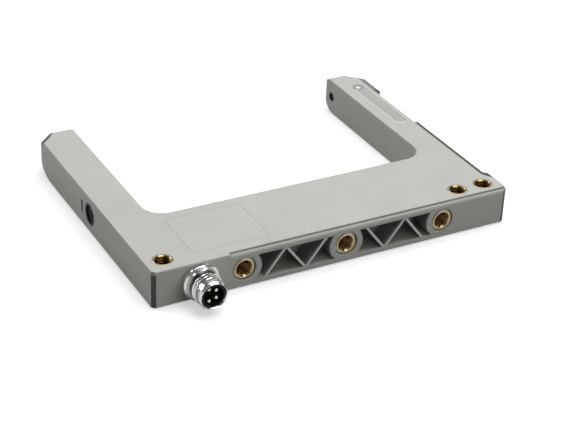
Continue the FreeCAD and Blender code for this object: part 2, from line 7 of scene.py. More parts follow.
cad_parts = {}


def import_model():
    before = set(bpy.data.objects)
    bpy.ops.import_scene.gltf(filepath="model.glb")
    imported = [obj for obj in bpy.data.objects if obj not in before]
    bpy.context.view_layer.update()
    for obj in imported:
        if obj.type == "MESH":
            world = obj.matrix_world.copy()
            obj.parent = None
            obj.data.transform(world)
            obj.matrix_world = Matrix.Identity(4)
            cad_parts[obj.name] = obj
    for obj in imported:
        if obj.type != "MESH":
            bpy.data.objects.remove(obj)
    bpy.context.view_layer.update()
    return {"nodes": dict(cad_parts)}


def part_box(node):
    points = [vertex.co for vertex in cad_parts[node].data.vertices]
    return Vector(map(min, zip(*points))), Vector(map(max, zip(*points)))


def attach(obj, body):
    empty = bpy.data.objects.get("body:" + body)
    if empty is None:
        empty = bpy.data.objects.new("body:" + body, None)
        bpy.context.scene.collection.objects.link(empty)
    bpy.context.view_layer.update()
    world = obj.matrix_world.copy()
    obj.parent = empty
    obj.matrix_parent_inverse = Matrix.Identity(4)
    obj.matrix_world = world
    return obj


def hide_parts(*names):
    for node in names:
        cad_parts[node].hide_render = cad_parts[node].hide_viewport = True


# Looks of a fork light barrier: grey moulded housing, brass bushes, plated plug, frosted window.
# All sizes are in metres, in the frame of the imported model.

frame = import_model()
nodes = frame["nodes"]

MM = 0.001
X, Y, Z = (1, 0, 0), (0, 1, 0), (0, 0, 1)

FRONT_BUSHES = ("rear_insert_left", "rear_insert_middle", "rear_insert_right")
COVER_BUSHES = ("through_insert_left", "through_insert_inner", "through_insert_right")

# Camera, as fitted to the photograph
CAMERA_TARGET = (-0.00447, -0.01754, 0.005)
CAMERA_DISTANCE = 0.40246
CAMERA_AZIMUTH = -29.16
CAMERA_ELEVATION = 30.0
CAMERA_ROLL = 2.41
CAMERA_LENS = 98.56
SENSOR_WIDTH = 36.0
CLIP_START = 0.01
CLIP_END = 20

# Steps of the round meshes, and the angle in degrees above which an edge stays sharp
ROUND_STEPS = 128
ROWS_PER_TURN = 12
ROUNDING_STEPS = 8
SHARP_ANGLE = 35

# Plug: outer thread, radii, and places along its axis from its front end
PLUG_PITCH = 1.0 * MM
PLUG_THREAD_DEPTH = 0.5 * MM
PLUG_CREST = 4.0 * MM
PLUG_SLEEVE = 3.75 * MM
PLUG_BORE = 3.0 * MM
PLUG_MOUTH = 3.3 * MM
PLUG_RIM = 3.4 * MM
PLUG_NECK = 4.35 * MM
PLUG_SHOULDER = 4.5 * MM
PLUG_COLLAR = 4.85 * MM
PLUG_STEM = 3.57 * MM
PLUG_STEM_BORE = 2.7 * MM
PLUG_BEVEL = 0.06 * MM
PLUG_STEP = 0.04 * MM
PLUG_CHAMFER = 0.1 * MM
PLUG_FLARE = 0.12 * MM
PLUG_FLARE_LENGTH = 0.35 * MM
PLUG_COLLAR_EDGE = 0.05 * MM
PLUG_LEAD_END = 0.5 * MM
PLUG_RING_START = 1.3 * MM
PLUG_RING_END = 1.54 * MM
PLUG_THREAD_START = 2.4 * MM
PLUG_NECK_START = 5.4 * MM
PLUG_NECK_LENGTH = 0.8 * MM
PLUG_COLLAR_LENGTH = 1.9 * MM
PLUG_UNDERCUT = 0.6 * MM
PLUG_RUNOUT = 0.5 * MM
PLUG_RUNOUT_GAP = 0.3 * MM

# Bushes: inner thread, and the joint around the mouth
BUSH_PITCH = 0.7 * MM
BUSH_THREAD_DEPTH = 0.35 * MM
BUSH_CORE = 1.65 * MM
BUSH_EDGE = 0.05 * MM
BUSH_JOINT_DEPTH = 0.4 * MM
BUSH_END_STEP = 0.02 * MM

# Window strip: its flange, how far it stands above its CAD solid, and its rounded upper edge
WINDOW_FLANGE_WIDTH = 0.62 * MM
WINDOW_FLANGE_HEIGHT = 0.6 * MM
WINDOW_RISE = 0.26 * MM
WINDOW_ROUNDING = 0.25 * MM
WINDOW_SHOULDER = 0.7 * MM
WINDOW_RIM_DEPTH = 0.04 * MM

# Texture scales, in features per metre
BLOTCHES = 90
COARSE_GRAIN = 1500
FINE_GRAIN = 6500
STAINS = 400
TURNED_GROOVES = 9000
RESIN_FLOW = 700
GUIDE_FLOW = 500
GLASS_WEAVE = 3000

# Edges of the zones of tone, and the rounding of the housing's front edges
ZONE_SOFTNESS = 0.05 * MM
CRISP = 0.01 * MM
BEVEL_SAMPLES = 6
FRONT_ROUNDING = 0.9 * MM

# Painted shade on the bevelled front corners and on the ledges beside the cover
CORNER_LEDGE_SHADE_COLOUR = (0.06, 0.06, 0.058, 1)
# Painted shade on the shoulder at the tip of the right arm
SHOULDER_SHADE_COLOUR = (0.2, 0.2, 0.195, 1)
# Painted shade in the sunk setting mark
MARK_SHADE_COLOUR = (0.2, 0.2, 0.19, 1)
FRAME_COLOUR = (0.36, 0.36, 0.34, 1)
# Painted shade deep in the ribbed pockets
POCKET_SHADE_COLOUR = (0.28, 0.28, 0.265, 1)
# Painted highlight on the front edges of the ribs
RIB_HIGHLIGHT_COLOUR = (0.78, 0.78, 0.74, 1)
# Painted highlight on the window strip's rim
WINDOW_RIM_HIGHLIGHT_COLOUR = (0.85, 0.85, 0.83, 1)
LAMP_COLOUR = (1, 1, 0.98, 1)

# Studio: floor tones, fill light, and the surround that metal mirrors, with limits as directions
FLOOR_SIZE = 4.0
FLOOR_DROP = 0.2 * MM
FLOOR_PALE = 0.75
FLOOR_BOUNCE = 0.16
FLOOR_GLOW = 0.48
FILL_LIGHT = 0.15
HORIZON_LIGHT = 0.9
CEILING_LIGHT = 0.22
CEILING_START = 0.15
CEILING_FULL = 0.45
PANEL_LIGHT = 4.5
PANEL_LEFT = (-0.34, -0.28)
PANEL_RIGHT = (0.46, 0.52)
PANEL_NEAR = (-0.60, -0.56)
PANEL_FAR = (-0.44, -0.40)

# Lamps: name, place, size and power in watts
LAMPS = (("top_light", (0.25, 0.1, 0.85), (0.9, 0.9), 8.0),
         ("left_light", (-0.65, 0.75, 0.45), (0.6, 0.4), 4.2),
         ("front_light", (0.28, -0.9, 0.25), (0.5, 0.3), 1.7))

# Sockets of a Mix node that mixes colours
MIX_FIRST = 6
MIX_SECOND = 7
MIX_RESULT = 2


def shade(colour, factor):
    """Colour made darker or lighter."""
    return tuple(min(1.0, part * factor) for part in colour)


def node_tree(name):
    """New material with its node tree and its surface shader."""
    material = bpy.data.materials.new(name)
    material.use_nodes = True
    tree = material.node_tree
    tree.nodes.clear()
    output = tree.nodes.new("ShaderNodeOutputMaterial")
    shader = tree.nodes.new("ShaderNodeBsdfPrincipled")
    tree.links.new(shader.outputs["BSDF"], output.inputs["Surface"])
    return material, tree, shader


def add(tree, kind, values=None, **links):
    """New node with plain values on its sockets and links from other nodes' outputs."""
    made = tree.nodes.new(kind)
    for key, value in (values or {}).items():
        if key in made.inputs:
            made.inputs[key].default_value = value
        else:
            setattr(made, key, value)
    for key, source in links.items():
        tree.links.new(source, made.inputs[key])
    return made


def noise(tree, scale, detail=3.0, stretch=(1, 1, 1)):
    """Noise over the object's own coordinates, at a scale in features per metre."""
    place = add(tree, "ShaderNodeTexCoord")
    mapping = add(tree, "ShaderNodeMapping", {"Scale": stretch}, Vector=place.outputs["Object"])
    made = add(tree, "ShaderNodeTexNoise", {"Scale": scale, "Detail": detail, "Roughness": 0.5},
               Vector=mapping.outputs["Vector"])
    return made.outputs["Fac"]


def spread(tree, source, low, high, low_in=0.3, high_in=0.7):
    """Source value mapped onto a range."""
    made = add(tree, "ShaderNodeMapRange",
               {"From Min": low_in, "From Max": high_in, "To Min": low, "To Max": high},
               Value=source)
    return made.outputs["Result"]


def tint(tree, source, dark, light):
    """Colour between two close tones."""
    ramp = add(tree, "ShaderNodeValToRGB", Fac=source)
    dark_end, light_end = ramp.color_ramp.elements
    dark_end.position = 0.3
    dark_end.color = (*dark, 1)
    light_end.position = 0.7
    light_end.color = (*light, 1)
    return ramp.outputs["Color"]


def combine(tree, operation, first, second):
    """Arithmetic on two node outputs."""
    made = add(tree, "ShaderNodeMath", {"operation": operation})
    tree.links.new(first, made.inputs[0])
    tree.links.new(second, made.inputs[1])
    return made.outputs["Value"]


def all_of(tree, zones):
    """Where all the zones meet."""
    whole = zones[0]
    for zone in zones[1:]:
        whole = combine(tree, "MULTIPLY", whole, zone)
    return whole


def any_of(tree, zones):
    """Where at least one of the zones is."""
    whole = zones[0]
    for zone in zones[1:]:
        whole = combine(tree, "MAXIMUM", whole, zone)
    return whole


def toned(tree, colour, zone, tone):
    """Colour replaced by a plain tone inside a zone."""
    mix = add(tree, "ShaderNodeMix", {"data_type": "RGBA"})
    tree.links.new(zone, mix.inputs["Factor"])
    tree.links.new(colour, mix.inputs[MIX_FIRST])
    mix.inputs[MIX_SECOND].default_value = tone
    return mix.outputs[MIX_RESULT]


def grain(tree, shader, layers, edge=0.0, wider=None):
    """Chain of fine bumps, given as (height source, depth in metres), over softened edges."""
    normal = None
    if edge:
        rounded = add(tree, "ShaderNodeBevel", {"Radius": edge, "samples": BEVEL_SAMPLES})
        if wider:
            tree.links.new(wider, rounded.inputs["Radius"])
        normal = rounded.outputs["Normal"]
    for height, depth in layers:
        bump = add(tree, "ShaderNodeBump", {"Strength": 1.0, "Distance": depth}, Height=height)
        if normal:
            tree.links.new(normal, bump.inputs["Normal"])
        normal = bump.outputs["Normal"]
    tree.links.new(normal, shader.inputs["Normal"])


def beyond(tree, direction, limit, soft=ZONE_SOFTNESS):
    """1 where the distance along a direction passes a limit, 0 before it, with a soft edge."""
    place = add(tree, "ShaderNodeTexCoord")
    along = add(tree, "ShaderNodeVectorMath", {"operation": "DOT_PRODUCT"})
    tree.links.new(place.outputs["Object"], along.inputs[0])
    along.inputs[1].default_value = direction
    made = add(tree, "ShaderNodeMapRange", {"From Min": limit - soft, "From Max": limit + soft},
               Value=along.outputs["Value"])
    return made.outputs["Result"]


def before(tree, direction, limit, soft=ZONE_SOFTNESS):
    """1 where the distance along a direction is short of a limit, 0 past it, with a soft edge."""
    return beyond(tree, tuple(-part for part in direction), -limit, soft)


def within(tree, direction, low, high, soft=ZONE_SOFTNESS):
    """1 between two limits along a direction, with soft edges."""
    return all_of(tree, [beyond(tree, direction, low, soft), before(tree, direction, high, soft)])


def from_line(tree, point, across):
    """Distance from the line through a point, measured in the plane given by across."""
    place = add(tree, "ShaderNodeTexCoord")
    flat = add(tree, "ShaderNodeVectorMath", {"operation": "MULTIPLY"})
    tree.links.new(place.outputs["Object"], flat.inputs[0])
    flat.inputs[1].default_value = across
    away = add(tree, "ShaderNodeVectorMath", {"operation": "DISTANCE"})
    tree.links.new(flat.outputs["Vector"], away.inputs[0])
    away.inputs[1].default_value = Vector(point) * Vector(across)
    return away.outputs["Value"]


def bush_middle(name):
    """Place of a bush across the housing."""
    low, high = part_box(name)
    return (low.x + high.x) / 2


def corner_zone(tree, low, high):
    """1 on the two bevelled corners of the front, which the photograph shows dark."""
    left_bevel = 0.92 * MM
    right_bevel = 0.52 * MM
    # Painted shade: these two bevels get a dark tone in the colour
    return any_of(tree, [beyond(tree, (-1, -1, 0), -low.x - low.y - left_bevel, CRISP),
                         beyond(tree, (0.5, -1, 0), 0.5 * high.x - low.y - right_bevel, CRISP)])


def ledge_zones(tree, low, high):
    """Ledges beside the cover, toned with painted shade: the dark ones, and the middling one at the tip of
    the right arm.
    """
    ledge_level = 9.3 * MM
    level_softness = 0.1 * MM
    tip_reach = 6.2 * MM
    tip_softness = 0.3 * MM
    shoulder_reach = 8.0 * MM
    side_start = 6.6 * MM
    side_end = 3.0 * MM
    on_top = beyond(tree, Z, ledge_level, level_softness)
    tip_start = high.x + high.y - tip_reach
    left_tip = all_of(tree, [beyond(tree, (-1, 1, 0), tip_start, tip_softness), on_top])
    sides = all_of(tree, [within(tree, Y, low.y + side_start, high.y - side_end), on_top])
    # Painted shade on the shoulder at the right arm's tip
    right_tip_shade = all_of(tree, [beyond(tree, (1, 1, 0), tip_start - shoulder_reach, tip_softness),
                              on_top])
    return any_of(tree, [left_tip, sides]), right_tip_shade


def pocket_shade_zone(tree, front):
    """1 on the walls deep in the ribbed pockets, where shade is painted because little light reaches them.
    """
    mouth = 0.6 * MM
    mouth_softness = 0.5 * MM
    back = 6.5 * MM
    floor = 1.5 * MM
    roof = 8.3 * MM
    left, _, right = (bush_middle(name) for name in FRONT_BUSHES)
    return all_of(tree, [within(tree, X, left, right),
                         beyond(tree, Y, front + mouth, mouth_softness),
                         before(tree, Y, front + back), within(tree, Z, floor, roof)])


def rib_highlight_zone(tree, front):
    """1 on the thin front edges of the ribs, where a lighter highlight is painted."""
    from_bush = 5.2 * MM
    edge_depth = 0.1 * MM
    edge_softness = 0.08 * MM
    foot = 1.5 * MM
    head = 8.0 * MM
    left, middle, right = (bush_middle(name) for name in FRONT_BUSHES)
    spans = [within(tree, X, start + from_bush, end - from_bush)
             for start, end in ((left, middle), (middle, right))]
    return all_of(tree, [any_of(tree, spans), before(tree, Y, front + edge_depth, edge_softness),
                         within(tree, Z, foot, head)])


def rounded_zone(tree, front):
    """1 where the front's edges are well rounded: along its top and on the bosses of the bushes."""
    depth = 1.5 * MM
    top_start = 8.6 * MM
    left_reach = 4.0 * MM
    boss_radius = 4.3 * MM
    boss_softness = 0.1 * MM
    near = before(tree, Y, front + depth)
    zones = [all_of(tree, [near, beyond(tree, Z, top_start),
                           beyond(tree, X, bush_middle(FRONT_BUSHES[0]) - left_reach)])]
    for name in FRONT_BUSHES:
        low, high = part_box(name)
        away = from_line(tree, (low + high) / 2, (1, 0, 1))
        boss = spread(tree, away, 1, 0, boss_radius, boss_radius + boss_softness)
        zones.append(all_of(tree, [near, boss]))
    return any_of(tree, zones)


def mark_shade_zone(tree, side_x):
    """1 inside the sunk setting mark beside the trimmer, where shade is painted."""
    start_depth = 0.12 * MM
    end_depth = 0.8 * MM
    near_gap = 0.8 * MM
    far_gap = 4.0 * MM
    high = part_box("trimmer_rotor")[1]
    return all_of(tree, [within(tree, X, side_x + start_depth, side_x + end_depth),
                         within(tree, Y, high.y + near_gap, high.y + far_gap)])


def frame_zone(tree, name, inset=0.1 * MM, width=0.15 * MM, soft=0.04 * MM):
    """1 in a thin frame just inside the edges of a flat piece."""
    low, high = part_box(name)
    outer, inner = (all_of(tree, [within(tree, X, low.x + depth, high.x - depth, soft),
                                  within(tree, Y, low.y + depth, high.y - depth, soft)])
                    for depth in (inset, inset + width))
    return combine(tree, "SUBTRACT", outer, inner)


def plug_root_shade_zone(tree):
    """1 in the roots of the plug's thread, where shade is painted darker."""
    root_start = 0.1 * MM
    root_end = 0.25 * MM
    thread_start = 2.2 * MM
    thread_end = 5.5 * MM
    low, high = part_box("connector_shell")
    away = from_line(tree, (low + high) / 2, (1, 0, 1))
    root = PLUG_CREST - PLUG_THREAD_DEPTH
    return all_of(tree, [spread(tree, away, 1, 0, root + root_start, root + root_end),
                         within(tree, Y, low.y + thread_start, low.y + thread_end)])


def housing_tones(tree, colour):
    """Colour of the housing with painted shade in its pockets, front corners, ledges and setting mark, and
    a painted highlight on its rib edges.
    """
    low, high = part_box("housing_tub")
    shaded_ledges, right_tip_shade = ledge_zones(tree, low, high)
    # Painted shade on the bevelled front corners and on the ledges beside the cover
    dark = any_of(tree, [corner_zone(tree, low, high), shaded_ledges])
    for zone, tone in ((pocket_shade_zone(tree, low.y), POCKET_SHADE_COLOUR), (rib_highlight_zone(tree, low.y), RIB_HIGHLIGHT_COLOUR),
                       (dark, CORNER_LEDGE_SHADE_COLOUR), (right_tip_shade, SHOULDER_SHADE_COLOUR),
                       (mark_shade_zone(tree, low.x), MARK_SHADE_COLOUR)):
        colour = toned(tree, colour, zone, tone)
    return colour


def moulded_plastic(name, colour, roughness, edge, depth=4e-6, level=0.5, housing=False, framed=None):
    """Matt moulded plastic: faint blotches, fine spark-eroded grain, softened edges."""
    material, tree, shader = node_tree(name)
    blotch = noise(tree, BLOTCHES, 4.0)
    base = tint(tree, blotch, shade(colour, 0.965), shade(colour, 1.03))
    wider = None
    if housing:
        base = housing_tones(tree, base)
        wider = spread(tree, rounded_zone(tree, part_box("housing_tub")[0].y), edge, FRONT_ROUNDING, 0, 1)
    if framed:
        base = toned(tree, base, frame_zone(tree, framed), FRAME_COLOUR)
    tree.links.new(base, shader.inputs["Base Color"])
    fine = noise(tree, FINE_GRAIN, 2.0)
    coarse = noise(tree, COARSE_GRAIN)
    tree.links.new(spread(tree, coarse, roughness - 0.05, roughness + 0.06),
                   shader.inputs["Roughness"])
    shader.inputs["IOR"].default_value = 1.5
    shader.inputs["Specular IOR Level"].default_value = level
    grain(tree, shader, [(coarse, depth), (fine, depth)], edge, wider)
    return material


def turned_metal(name, colour, roughness, edge, painted_shade_zone=None):
    """Turned metal with fine grooves around its axis and slight stains, darker where shade is painted in a
    zone.
    """
    material, tree, shader = node_tree(name)
    stain = noise(tree, STAINS, 4.0)
    groove = noise(tree, TURNED_GROOVES, 2.0, stretch=(0.06, 1.0, 0.06))
    base = tint(tree, stain, shade(colour, 0.86), shade(colour, 1.08))
    # Painted shade: inside the zone the colour is a darker copy of the metal
    if painted_shade_zone:
        base = toned(tree, base, painted_shade_zone(tree), (*shade(colour, 0.22), 1))
    tree.links.new(base, shader.inputs["Base Color"])
    tree.links.new(spread(tree, stain, roughness - 0.05, roughness + 0.08),
                   shader.inputs["Roughness"])
    shader.inputs["Metallic"].default_value = 1.0
    grain(tree, shader, [(groove, 3e-6)], edge)
    return material


def smooth_resin(name, colour, roughness):
    """Smooth moulded resin with a faint flow texture under a clear skin."""
    material, tree, shader = node_tree(name)
    flow = noise(tree, RESIN_FLOW)
    tree.links.new(tint(tree, flow, shade(colour, 0.95), shade(colour, 1.04)),
                   shader.inputs["Base Color"])
    tree.links.new(spread(tree, flow, max(0.02, roughness - 0.03), roughness + 0.04),
                   shader.inputs["Roughness"])
    shader.inputs["Coat Weight"].default_value = 0.5
    shader.inputs["IOR"].default_value = 1.5
    grain(tree, shader, [(flow, 4e-6)])
    return material


def light_guide(name, colour, lamp):
    """Milky clear plastic, bright over its lamp with a darker ring around it, and a painted highlight
    along its rim.
    """
    material, tree, shader = node_tree(name)
    flow = noise(tree, GUIDE_FLOW)
    base = tint(tree, flow, shade(colour, 0.94), shade(colour, 1.06))
    low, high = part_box(lamp)
    away = from_line(tree, (low + high) / 2, (1, 1, 0))
    radius = (high.x - low.x) / 2

    def disc(start, end):
        return spread(tree, away, 1, 0, start * radius, end * radius)

    glow = disc(0.25, 0.6)
    ring = combine(tree, "SUBTRACT", disc(0.85, 1.1), disc(0.5, 0.75))
    # Painted highlight: the rounded rim of the strip is made lighter in colour
    rim_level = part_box("indicator_window")[1].z + WINDOW_RISE - WINDOW_RIM_DEPTH
    rim = before(tree, Z, rim_level, WINDOW_RIM_DEPTH)
    base = toned(tree, base, rim, WINDOW_RIM_HIGHLIGHT_COLOUR)
    base = toned(tree, base, ring, (*shade(colour, 0.62), 1))
    base = toned(tree, base, glow, LAMP_COLOUR)
    tree.links.new(base, shader.inputs["Base Color"])
    tree.links.new(spread(tree, flow, 0.05, 0.12), shader.inputs["Roughness"])
    shader.inputs["Coat Weight"].default_value = 0.8
    shader.inputs["Coat Roughness"].default_value = 0.03
    grain(tree, shader, [(flow, 3e-6)])
    return material


def circuit_board(name):
    """Green laminate with its woven glass showing through the varnish."""
    material, tree, shader = node_tree(name)
    weave = noise(tree, GLASS_WEAVE, 1.0, stretch=(1, 0.2, 1))
    tree.links.new(tint(tree, weave, (0.012, 0.09, 0.035), (0.02, 0.14, 0.055)),
                   shader.inputs["Base Color"])
    tree.links.new(spread(tree, weave, 0.3, 0.45), shader.inputs["Roughness"])
    grain(tree, shader, [(weave, 1e-5)])
    return material


def give(material, *names):
    """Put one material on CAD nodes."""
    for name in names:
        data = nodes[name].data
        data.materials.clear()
        data.materials.append(material)


def finished(mesh, name):
    """Object from a finished mesh, smooth but for its edges."""
    data = bpy.data.meshes.new(name)
    mesh.to_mesh(data)
    mesh.free()
    data.shade_smooth()
    data.set_sharp_from_angle(angle=math.radians(SHARP_ANGLE))
    made = bpy.data.objects.new(name, data)
    bpy.context.scene.collection.objects.link(made)
    return made


def bridge(mesh, here, ahead):
    """Band of faces between two closed rings with the same number of points."""
    for step in range(len(here)):
        follow = (step + 1) % len(here)
        mesh.faces.new((here[step], here[follow], ahead[follow], ahead[step]))


def revolved(name, rows, start, direction):
    """Surface of revolution: each row is (distance along, function of the turn angle for the radius)."""
    mesh = bmesh.new()
    rings = []
    for along, radius in rows:
        ring = []
        for step in range(ROUND_STEPS):
            angle = 2 * math.pi * step / ROUND_STEPS
            r = radius(angle)
            ring.append(mesh.verts.new((r * math.cos(angle), r * math.sin(angle), along)))
        rings.append(ring)
    for here, ahead in zip(rings, rings[1:] + rings[:1]):
        bridge(mesh, here, ahead)
    bmesh.ops.recalc_face_normals(mesh, faces=mesh.faces)
    turn = Vector(Z).rotation_difference(Vector(direction)).to_matrix().to_4x4()
    mesh.transform(Matrix.Translation(Vector(start)) @ turn)
    return finished(mesh, name)


def round_rows(*pairs):
    """Rows of a surface of revolution from pairs of distance along and radius."""
    def steady(radius):
        return lambda angle: radius
    return [(along, steady(radius)) for along, radius in pairs]


def thread_wave(phase):
    """Thread section over one turn: 0 at the crest's flat, 1 at the root's flat."""
    crest_end = 0.14
    flank = 0.68
    slope = abs(2 * (phase % 1.0) - 1)
    return min(1.0, max(0.0, (slope - crest_end) / flank))


def make_plug_shell():
    """Plated shell of the connector with its outer thread cut in behind a smooth front end."""
    low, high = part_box("connector_shell")
    middle = (low + high) / 2
    length = high.y - low.y
    collar_start = PLUG_NECK_START + PLUG_NECK_LENGTH
    collar_end = collar_start + PLUG_COLLAR_LENGTH
    undercut = collar_end - PLUG_UNDERCUT
    root = PLUG_CREST - PLUG_THREAD_DEPTH
    runout_end = PLUG_NECK_START - PLUG_RUNOUT_GAP

    def thread_row(along):
        runout = min(1.0, max(0.0, (runout_end - along) / PLUG_RUNOUT))
        climb = max(0.0, along - PLUG_THREAD_START + PLUG_CREST - PLUG_SLEEVE)
        rise = min(PLUG_CREST, PLUG_SLEEVE + climb)

        def radius(angle):
            wave = thread_wave(along / PLUG_PITCH - angle / (2 * math.pi))
            cut = PLUG_CREST - PLUG_THREAD_DEPTH * wave
            return min(rise, root + (cut - root) * runout)
        return along, radius

    rows = round_rows(
        (length, PLUG_STEM_BORE), (collar_start, PLUG_STEM_BORE), (collar_start, PLUG_BORE),
        (PLUG_LEAD_END, PLUG_BORE), (PLUG_STEP, PLUG_MOUTH), (0, PLUG_MOUTH + PLUG_STEP),
        (0, PLUG_RIM), (PLUG_BEVEL, PLUG_RIM + PLUG_STEP),
        (PLUG_LEAD_END - PLUG_BEVEL, PLUG_SLEEVE - PLUG_BEVEL),
        (PLUG_LEAD_END + PLUG_BEVEL, PLUG_SLEEVE),
        (PLUG_RING_START, PLUG_SLEEVE), (PLUG_RING_START + PLUG_STEP, PLUG_SLEEVE - PLUG_BEVEL),
        (PLUG_RING_END - PLUG_STEP, PLUG_SLEEVE - PLUG_BEVEL), (PLUG_RING_END, PLUG_SLEEVE))
    first = PLUG_THREAD_START - (PLUG_CREST - PLUG_SLEEVE)
    thread_length = PLUG_NECK_START - first
    count = round(thread_length / PLUG_PITCH * ROWS_PER_TURN)
    rows += [thread_row(first + thread_length * (index + 0.5) / count) for index in range(count)]
    rows += round_rows(
        (PLUG_NECK_START, root), (PLUG_NECK_START, PLUG_NECK - PLUG_CHAMFER),
        (PLUG_NECK_START + PLUG_CHAMFER, PLUG_NECK), (collar_start, PLUG_NECK),
        (collar_start, PLUG_SHOULDER), (collar_start + PLUG_CHAMFER, PLUG_SHOULDER + PLUG_FLARE),
        (collar_start + PLUG_FLARE_LENGTH, PLUG_COLLAR), (undercut - PLUG_COLLAR_EDGE, PLUG_COLLAR),
        (undercut, PLUG_COLLAR - PLUG_COLLAR_EDGE), (undercut, PLUG_SHOULDER),
        (collar_end, PLUG_SHOULDER), (collar_end, PLUG_STEM), (length, PLUG_STEM))
    shell = revolved("plug_shell_threaded", rows, (middle.x, low.y, middle.z), Y)
    shell.data.materials.append(plated_metal)
    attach(shell, "housing")
    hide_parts("connector_shell")


def make_bush(node, direction, mouth, bright, gap):
    """Brass bush with its inner thread: mouth widens it, bright is how deep its brass stays free of the
    thread's painted shade, gap its joint.
    """
    low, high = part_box(node)
    middle = (low + high) / 2
    out = Vector(direction)
    span = abs((high - low) @ out)
    outer = (high.x - low.x) / 2
    joint_end = span - BUSH_JOINT_DEPTH
    rim = outer - gap

    def thread_row(along):
        from_end = min(along, span - along)
        limit = BUSH_CORE + max(0.0, mouth - from_end)

        def radius(angle):
            wave = thread_wave(along / BUSH_PITCH - angle / (2 * math.pi))
            return max(limit, BUSH_CORE + BUSH_THREAD_DEPTH * wave)
        return along, radius

    rows = round_rows(
        (0, BUSH_CORE + mouth), (0, outer - BUSH_EDGE), (BUSH_EDGE, outer), (joint_end, outer),
        (joint_end, rim), (span - BUSH_EDGE, rim), (span, rim - BUSH_EDGE),
        (span, BUSH_CORE + mouth))
    count = int(span / BUSH_PITCH * ROWS_PER_TURN)
    thread_length = span - 2 * BUSH_END_STEP
    rows += [thread_row(span - BUSH_END_STEP - thread_length * index / count)
             for index in range(count + 1)]
    bush = revolved(node + "_threaded", rows, middle - out * span / 2, direction)
    for material in (bush_metal, shaded_thread_metal, shaded_lead_metal):
        bush.data.materials.append(material)
    # Thread faces deeper than bright get brass with painted shade, and the lead-in a darker, smoother
    # brass with painted shade
    root = BUSH_CORE + BUSH_THREAD_DEPTH + BUSH_END_STEP
    for face in bush.data.polygons:
        offset = face.center - middle
        along = offset @ out
        across = (offset - out * along).length
        if across < root and abs(along) < span / 2 - bright:
            face.material_index = 1
        elif across < BUSH_CORE + mouth - BUSH_END_STEP / 2:
            face.material_index = 2
    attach(bush, "housing")
    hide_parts(node)


def make_window():
    """Light guide of the window: a slot-shaped strip with a flange below and a rounded upper edge."""
    low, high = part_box("indicator_window")
    middle_x = (low.x + high.x) / 2
    flange = (high.x - low.x) / 2
    far_end, near_end = high.y - flange, low.y + flange
    width = flange - WINDOW_FLANGE_WIDTH
    seat = low.z + WINDOW_FLANGE_HEIGHT
    top = high.z + WINDOW_RISE
    rows = [(flange, low.z), (flange, seat), (width, seat)]
    for step in range(ROUNDING_STEPS + 1):
        turn = math.radians(90 * step / ROUNDING_STEPS)
        rows.append((width - WINDOW_SHOULDER * (1 - math.cos(turn)),
                     top - WINDOW_ROUNDING * (1 - math.sin(turn))))
    mesh = bmesh.new()
    rings = []
    for radius, height in rows:
        ring = []
        for centre, first_angle in ((far_end, 0), (near_end, math.pi)):
            for step in range(ROUND_STEPS):
                angle = math.pi * step / (ROUND_STEPS - 1) + first_angle
                ring.append(mesh.verts.new((middle_x + radius * math.cos(angle),
                                            centre + radius * math.sin(angle), height)))
        rings.append(ring)
    for here, ahead in zip(rings, rings[1:]):
        bridge(mesh, here, ahead)
    mesh.faces.new(rings[0])
    mesh.faces.new(rings[-1])
    bmesh.ops.recalc_face_normals(mesh, faces=mesh.faces)
    window = finished(mesh, "window_strip")
    window.data.materials.append(window_plastic)
    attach(window, "housing")
    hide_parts("indicator_window")


def seen(tree, *kinds):
    """1 for what the camera sees, and for the kinds of ray named."""
    path = add(tree, "ShaderNodeLightPath")
    return any_of(tree, [path.outputs[kind] for kind in ("Is Camera Ray", *kinds)])


def blend(tree, factor, first, second):
    """Shader between two others."""
    made = add(tree, "ShaderNodeMixShader", Fac=factor)
    tree.links.new(first, made.inputs[1])
    tree.links.new(second, made.inputs[2])
    return made.outputs["Shader"]


def card(tree, tone):
    """Matt grey surface."""
    return add(tree, "ShaderNodeBsdfDiffuse", {"Color": (tone, tone, tone, 1)}).outputs["BSDF"]


def studio_light(tree, strength):
    """White light of the surround."""
    return add(tree, "ShaderNodeBackground", {"Strength": strength}).outputs["Background"]


def make_floor():
    """Pale floor: white to the camera, pale in metal, a dim grey as a source of bounced light."""
    data = bpy.data.meshes.new("floor")
    corners = [(side * FLOOR_SIZE, end * FLOOR_SIZE, 0)
               for side, end in ((-1, -1), (1, -1), (1, 1), (-1, 1))]
    data.from_pydata(corners, [], [(0, 1, 2, 3)])
    floor = bpy.data.objects.new("floor", data)
    floor.location.z = -FLOOR_DROP
    bpy.context.scene.collection.objects.link(floor)
    material = bpy.data.materials.new("floor_card")
    material.use_nodes = True
    tree = material.node_tree
    tree.nodes.clear()
    output = tree.nodes.new("ShaderNodeOutputMaterial")
    pale = card(tree, FLOOR_PALE)
    glow = add(tree, "ShaderNodeEmission", {"Color": (1, 1, 1, 1), "Strength": FLOOR_GLOW})
    bright = add(tree, "ShaderNodeAddShader")
    tree.links.new(pale, bright.inputs[0])
    tree.links.new(glow.outputs["Emission"], bright.inputs[1])
    path = add(tree, "ShaderNodeLightPath")
    base = blend(tree, path.outputs["Is Glossy Ray"], card(tree, FLOOR_BOUNCE), pale)
    whole = blend(tree, seen(tree, "Is Transmission Ray"), base, bright.outputs["Shader"])
    tree.links.new(whole, output.inputs["Surface"])
    data.materials.append(material)


